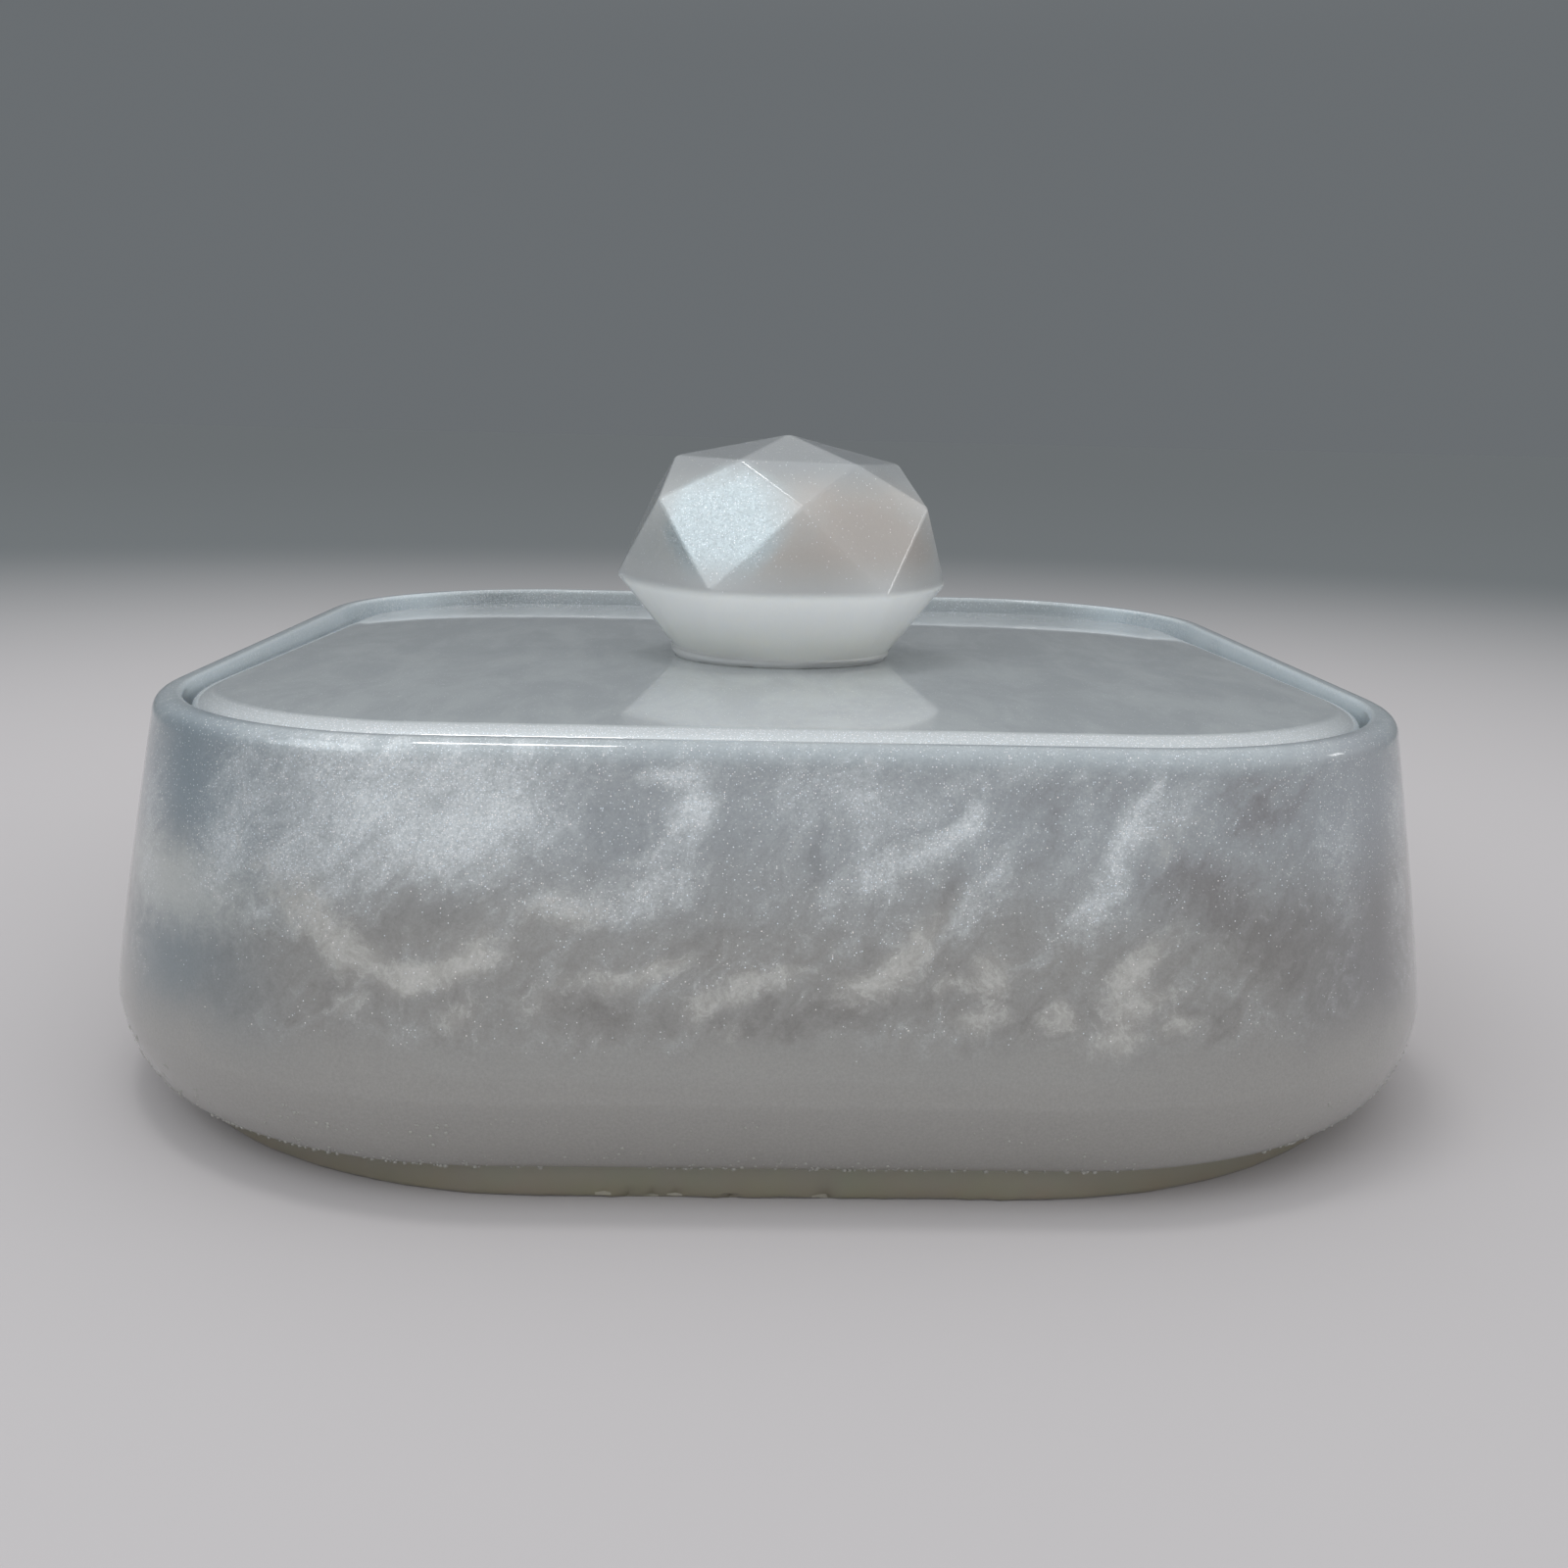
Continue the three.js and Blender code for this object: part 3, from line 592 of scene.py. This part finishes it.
def clear_glue():
    """Clear resin glue squeezed out round the neck. It is painted white: painted light, for the light that fills it
    and lifts the shade in the crease under the knob.
    """
    material, t = blank("clear resin glue")
    place = add(t, "TexCoord").outputs["Object"]
    haze = add(t, "TexNoise", {"Vector": place, "Scale": 1 / (1.2 * MM), "Detail": 3.0})
    base = layer(t, "#efeee6", [(haze.outputs[0], "#f7f6f1")])
    gloss_coat(t, base, Roughness=0.3, **{"Subsurface Weight": 0.8})
    return material


def trapped_air():
    """A bubble against the resin's skin: a clear bead, painted a little lighter than the resin as a painted
    highlight, for the light that it catches.
    """
    material, t = blank("trapped air")
    place = add(t, "TexCoord").outputs["Object"]
    tone = add(t, "TexNoise", {"Vector": place, "Scale": 1 / (2 * MM), "Detail": 1.0})
    base = layer(t, "#989791", [(tone.outputs[0], "#a8a7a0")])
    gloss_coat(t, base, Roughness=0.45)
    return material


# Bowl: up the belly and the wall, over the rim, down to the ledge and into the hollow


def section(z):
    """Half the width and the corner radius of the bowl's outside at a height."""
    if z < BELLY_Z:
        share = (z - FOOT_Z) / (BELLY_Z - FOOT_Z)
        out = (1 - (1 - share) ** BELLY_ROUNDNESS) ** (1 / BELLY_ROUNDNESS)
        return mix(HALF_SHOULDER, HALF_BODY, out), mix(SHOULDER_RADIUS, BELLY_RADIUS, out)
    share = (z - BELLY_Z) / (RIM_Z - RIM_OUTER_ROUND - BELLY_Z)
    return mix(HALF_BODY, HALF_RIM, share ** WALL_BOW), mix(BELLY_RADIUS, RIM_RADIUS, share)


def bowl_rings():
    heights = [mix(FOOT_Z, BELLY_Z, i / BELLY_STEPS) for i in range(BELLY_STEPS)]
    heights += [mix(BELLY_Z, RIM_Z - RIM_OUTER_ROUND, i / WALL_STEPS) for i in range(WALL_STEPS + 1)]
    rings = [Ring(*section(z), z) for z in heights]
    for rise, run in arc(ROUND_STEPS)[1:]:
        inset = RIM_OUTER_ROUND * run
        rings.append(Ring(HALF_RIM - inset, RIM_RADIUS - inset, RIM_Z - RIM_OUTER_ROUND * (1 - rise)))
    for rise, run in arc(ROUND_STEPS):
        outset = RIM_INNER_ROUND * (1 - rise)
        rings.append(Ring(HALF_REBATE + outset, REBATE_RADIUS + outset, RIM_Z - RIM_INNER_ROUND * run))
    rings.append(Ring(HALF_REBATE, REBATE_RADIUS, LEDGE_Z))
    for rise, run in arc(ROUND_STEPS):
        outset = LEDGE_ROUND * (1 - rise)
        rings.append(Ring(HALF_HOLLOW + outset, HOLLOW_RADIUS + outset, LEDGE_Z - LEDGE_ROUND * run))
    for rise, run in arc(BELLY_STEPS):
        inset = HOLLOW_TAPER + FLOOR_FILLET * run
        rings.append(Ring(HALF_HOLLOW - inset, HOLLOW_RADIUS - inset, FLOOR_Z + FLOOR_FILLET * (1 - rise)))
    return rings


rounded_stack("bowl", bowl_rings())
complete("box", poured_pearl_bowl(), smooth=22, replaced=["box_body"])

# Foot: a slab with an uneven lower edge, as it was poured
foot_rings = [Ring(HALF_FOOT - FOOT_ROUND * (1 - rise), FOOT_RADIUS - FOOT_ROUND * (1 - rise), FOOT_ROUND * run)
              for rise, run in arc(EASE_STEPS)]
foot_rings += [Ring(HALF_FOOT, FOOT_RADIUS, z) for z in (1.2, 2.0, FOOT_Z)]
rounded_stack("foot_slab", foot_rings, flat_cuts=FOOT_CUTS)
pick(lambda v: 0.05 * MM < v.co.z < 1.0 * MM)
roughen("poured edge", EDGE_GRAIN, EDGE_DEPTH)
# Small pits along the edge, where air lay against the mould.
half_straight = (HALF_FOOT - FOOT_RADIUS - 1) * MM
poured_edge = [v.co.copy() for v in bmesh.from_edit_mesh(bpy.context.object.data).verts
               if 0.15 * MM < v.co.z < 0.6 * MM and min(abs(v.co.x), abs(v.co.y)) < half_straight
               and max(abs(v.co.x), abs(v.co.y)) > 40 * MM]
for pit in random.Random(5).sample(poured_edge, PITS):
    pick(lambda v: (v.co - pit).length < PIT_REACH * MM)
    bpy.ops.transform.translate(value=-PIT_DEPTH * MM * Vector((pit.x, pit.y, 0)).normalized())
complete("box", clear_resin_foot(), smooth=30, replaced=["foot"])

# Lid: level underneath, its top face leaning up to the front, with a rounded border
lid_rings = [Ring(HALF_LID - LID_UNDER_ROUND * (1 - rise), LID_RADIUS - LID_UNDER_ROUND * (1 - rise),
                  LEDGE_Z + LID_UNDER_ROUND * run) for rise, run in arc(EASE_STEPS)]
for rise, run in arc(2 * ROUND_STEPS, BORDER_SWEEP):
    inset = BORDER_WIDTH * run
    lid_rings.append(Ring(HALF_LID - inset, LID_RADIUS - inset, LID_TOP_Z - BORDER_DROP * (1 - rise), LID_SLOPE))
rounded_stack("lid", lid_rings)
bpy.ops.mesh.bevel(offset=LID_EDGE_EASE * MM, segments=2, affect="EDGES")
complete("lid", poured_pearl_lid(), smooth=12, replaced=["lid_plate"])

# Glue bead: it fills the wedge between the leaning lid and the knob
bead = [Ring(radius, radius, z, LID_SLOPE * share) for radius, z, share in BEAD]
begin("glue_bead", bpy.ops.mesh.primitive_circle_add, vertices=BEAD_STEPS, radius=bead[0].radius * MM,
      fill_type="NGON")
bpy.ops.transform.rotate(value=-math.atan(LID_SLOPE), orient_axis="X", center_override=(0, 0, 0))
end = bead[0]
for ring in bead[1:]:
    end = pull(end, ring)
bpy.ops.transform.rotate(value=-math.radians(KNOB_LEAN), orient_axis="Y", center_override=(0, 0, BEAD_TOP * MM))
pick(lambda v: math.hypot(v.co.x, v.co.y) < 10.7 * MM)
roughen("squeezed edge", BEAD_GRAIN, BEAD_DEPTH)
bpy.ops.mesh.select_all(action="SELECT")
bpy.ops.transform.translate(value=((KNOB_X - KNOB_SHIFT) * MM, KNOB_Y * MM, KNOB_GROUND * MM))
complete("lid", clear_glue(), smooth=40, replaced=["knob_bond"])


# Knob: corners set out as rings, skinned, and its edges eased
def knob_shape():
    # A primitive's first corner is on +Y, so each ring is turned to the crown's first corner.
    turn = KNOB_HEADING - math.pi / 2
    half_side = math.pi / KNOB_SIDES
    kite_middle = mix(TABLE_RADIUS, GIRDLE_RADIUS, (TABLE_Z - KITE_Z) / (TABLE_Z - GIRDLE_Z))
    begin("knob_crown", bpy.ops.mesh.primitive_cone_add, vertices=KNOB_SIDES, radius1=TABLE_RADIUS * MM, radius2=0,
          depth=(APEX_Z - TABLE_Z) * MM, location=(0, 0, (APEX_Z + TABLE_Z) / 2 * MM))
    bpy.ops.transform.rotate(value=-turn, orient_axis="Z", center_override=(0, 0, 0))
    bpy.ops.mesh.primitive_circle_add(vertices=KNOB_SIDES, radius=kite_middle / math.cos(half_side) * MM,
                                      location=(0, 0, KITE_Z * MM), rotation=(0, 0, turn + half_side))
    bpy.ops.mesh.primitive_circle_add(vertices=KNOB_SIDES, radius=GIRDLE_RADIUS * MM,
                                      location=(0, 0, GIRDLE_Z * MM), rotation=(0, 0, turn))
    bpy.ops.mesh.subdivide(number_cuts=GIRDLE_STEPS - 1)
    # The girdle bows between its corners: each pair of points is drawn out by its own share.
    girdle, flat = picked(), GIRDLE_RADIUS * math.cos(half_side) * MM
    for i in range(GIRDLE_STEPS // 2):
        sideways = 2 * i / GIRDLE_STEPS * GIRDLE_RADIUS * math.sin(half_side) * MM
        chord = math.hypot(flat, sideways)
        pick(lambda v: v.index in girdle and abs(math.hypot(v.co.x, v.co.y) - chord) < 0.004 * MM)
        scale = mix(1, GIRDLE_RADIUS * MM / chord, GIRDLE_BOW)
        bpy.ops.transform.resize(value=(scale, scale, 1), center_override=(0, 0, GIRDLE_Z * MM))
    bpy.ops.mesh.primitive_circle_add(vertices=KNOB_SIDES * GIRDLE_STEPS, radius=NECK_RADIUS * MM,
                                      location=(0, 0, NECK_RISE * MM), rotation=(0, 0, turn))
    bpy.ops.mesh.select_all(action="SELECT")
    bpy.ops.mesh.convex_hull()
    bpy.ops.mesh.dissolve_limited(angle_limit=math.radians(FLAT_BELOW))
    bpy.ops.mesh.select_mode(type="EDGE")
    bpy.ops.mesh.select_all(action="DESELECT")
    bpy.ops.mesh.edges_select_sharp(sharpness=math.radians(EASED_ABOVE))
    shape = bmesh.from_edit_mesh(bpy.context.object.data)
    for edge in shape.edges:
        if edge.verts[0].co.z + edge.verts[1].co.z < 2 * (GIRDLE_Z - 1) * MM:
            edge.select = False
    bmesh.update_edit_mesh(bpy.context.object.data)
    bpy.ops.mesh.bevel(offset=FACET_EASE * MM, segments=EASE_STEPS, affect="EDGES")
    bpy.ops.mesh.select_mode(type="VERT")
    # The neck's short straight run.
    pick(lambda v: v.co.z < (NECK_RISE + 0.01) * MM)
    bpy.ops.mesh.extrude_region_move(TRANSFORM_OT_translate={"value": (0, 0, -NECK_RISE * MM)})
    bpy.ops.mesh.select_all(action="SELECT")
    bpy.ops.transform.rotate(value=-math.radians(KNOB_LEAN), orient_axis="Y", center_override=(0, 0, 0))
    bpy.ops.transform.translate(value=((KNOB_X - KNOB_SHIFT) * MM, KNOB_Y * MM, KNOB_SEAT * MM))


knob_shape()
knob = complete("lid", poured_pearl_knob(), smooth=25, replaced=["knob"])
# The facets stay flat and their eased edges take up all of the turn.
facets = knob.modifiers.new("flat facets", "WEIGHTED_NORMAL")
facets.weight, facets.keep_sharp = 90, True
bpy.ops.object.modifier_apply(modifier=facets.name)


# Bubbles: they rose from the foot's pour and stopped against the bowl's skin
def skin_place(z, share, depth=0):
    """A place in the bowl's skin at a height and depth, a share of the way round from the middle of the front."""
    half, radius = section(z)
    half, radius = half - depth, radius - depth
    straight, quarter = 2 * (half - radius), math.pi * radius / 2
    length = (share % 1) * 4 * (straight + quarter) + straight / 2
    side, left = divmod(length, straight + quarter)
    if left < straight:
        x, y = left - straight / 2, -half
    else:
        facing = -math.pi / 2 + (left - straight) / radius
        x, y = straight / 2 + radius * math.cos(facing), -straight / 2 + radius * math.sin(facing)
    return Matrix.Rotation(side * math.pi / 2, 2) @ Vector((x, y))


draw = random.Random(11)
begin("trapped_bubbles", bpy.ops.mesh.primitive_ico_sphere_add, subdivisions=1, radius=BUBBLE_MIN * MM)
bpy.ops.object.mode_set(mode="OBJECT")
bubble = bpy.context.object
bubble.location = (*(skin_place(4, 0) * MM), 4 * MM)
for _ in range(CLUSTERS):
    share, height = draw.random(), FOOT_Z + 0.3 + BAND * draw.random() ** 3
    for _ in range(draw.randint(FEWEST, MOST)):
        z = max(FOOT_Z + 0.2, height + draw.gauss(0, SCATTER_UP))
        size = mix(BUBBLE_MIN, BUBBLE_MAX, draw.random() ** 2)
        spot = skin_place(z, share + draw.gauss(0, SCATTER_ROUND), BUBBLE_DEPTH * size)
        another = bubble.copy()
        another.data = bubble.data.copy()
        another.location = (*(spot * MM), z * MM)
        another.scale = [size / BUBBLE_MIN] * 3
        bpy.context.scene.collection.objects.link(another)
        another.select_set(True)
bpy.ops.object.join()
bpy.ops.object.transform_apply(location=True, rotation=True, scale=True)
bpy.ops.object.mode_set(mode="EDIT")
complete("box", trapped_air(), smooth=60)

# Stage: a pale floor, a grey backdrop that gets lighter overhead, and soft lights
bpy.ops.object.select_all(action="DESELECT")
bpy.ops.mesh.primitive_plane_add(size=12)
floor = bpy.context.object
floor.name = "floor"
pale, t = blank("pale floor")
place = add(t, "TexCoord").outputs["Object"]
far = add(t, "VectorMath", {0: place}, operation="LENGTH").outputs["Value"]
far = add(t, "MapRange", {"Value": far, "From Min": 0.1, "From Max": 0.6}, interpolation_type="SMOOTHSTEP").outputs[0]
away = add(t, "VectorMath", {0: place}, operation="NORMALIZE").outputs[0]
tone = layer(t, "#bfbbbc", [(far, layer(t, "#717577", [(open_side(t, away), "#e0e0e1")]))])
add(t, "OutputMaterial", {0: add(t, "BsdfPrincipled", {
    "Base Color": tone, "Roughness": 0.9, "Specular IOR Level": 0.1}).outputs[0]})
floor.data.materials.append(pale)

world = bpy.data.worlds.new("studio")
bpy.context.scene.world = world
world.use_nodes = True
t = world.node_tree
t.nodes.clear()
outwards = add(t, "TexCoord").outputs["Generated"]
up = add(t, "SeparateXYZ", {0: outwards}).outputs[2]
# Low down, the open side is no brighter than the floor that it meets.
rising, high = (
    add(t, "MapRange", {"Value": up, "From Min": start, "From Max": full},
        interpolation_type="SMOOTHSTEP").outputs[0] for start, full in ((0.0, 0.3), (0.2, 0.9)))
pale_side = layer(t, "#c8c9ca", [(rising, "#eff1f2")])
sky = layer(t, "#64686b", [(open_side(t, outwards), pale_side), (high, "#eff1f2")])
background = add(t, "Background", {"Color": sky, "Strength": 1.12})
add(t, "OutputWorld", {0: background.outputs[0]})

# Lights: name, place in metres, side in metres, watts, colour
for name, place, side, watts, colour in (
        ("key light", (-0.62, -0.46, 0.69), 0.62, 2.1, "#f4fbff"),
        ("top light", (-0.17, 0.02, 1.0), 0.15, 1.1, "#ffffff"),
        ("side light", (0.93, 0.02, 0.36), 0.12, 0.2, "#ffffff")):
    lamp = bpy.data.lights.new(name, "AREA")
    lamp.size, lamp.energy, lamp.color = side, watts, paint(colour)[:3]
    light = bpy.data.objects.new(name, lamp)
    bpy.context.scene.collection.objects.link(light)
    light.location = place
    light.rotation_euler = (-light.location).to_track_quat("-Z", "Y").to_euler()

lens = bpy.data.cameras.new("camera")
lens.lens, lens.sensor_width, lens.clip_start = CAMERA_LENS, SENSOR, 5 * MM
camera = bpy.data.objects.new("camera", lens)
bpy.context.scene.collection.objects.link(camera)
camera.location = [c * MM for c in CAMERA_PLACE]
camera.rotation_euler = (
    Matrix.Rotation(-math.radians(CAMERA_RIGHT), 3, "Z") @ Matrix.Rotation(math.radians(90 - CAMERA_DOWN), 3, "X")
    @ Matrix.Rotation(math.radians(CAMERA_ROLL), 3, "Z")).to_euler()
bpy.context.scene.camera = camera
bpy.context.scene.view_settings.view_transform = "Standard"
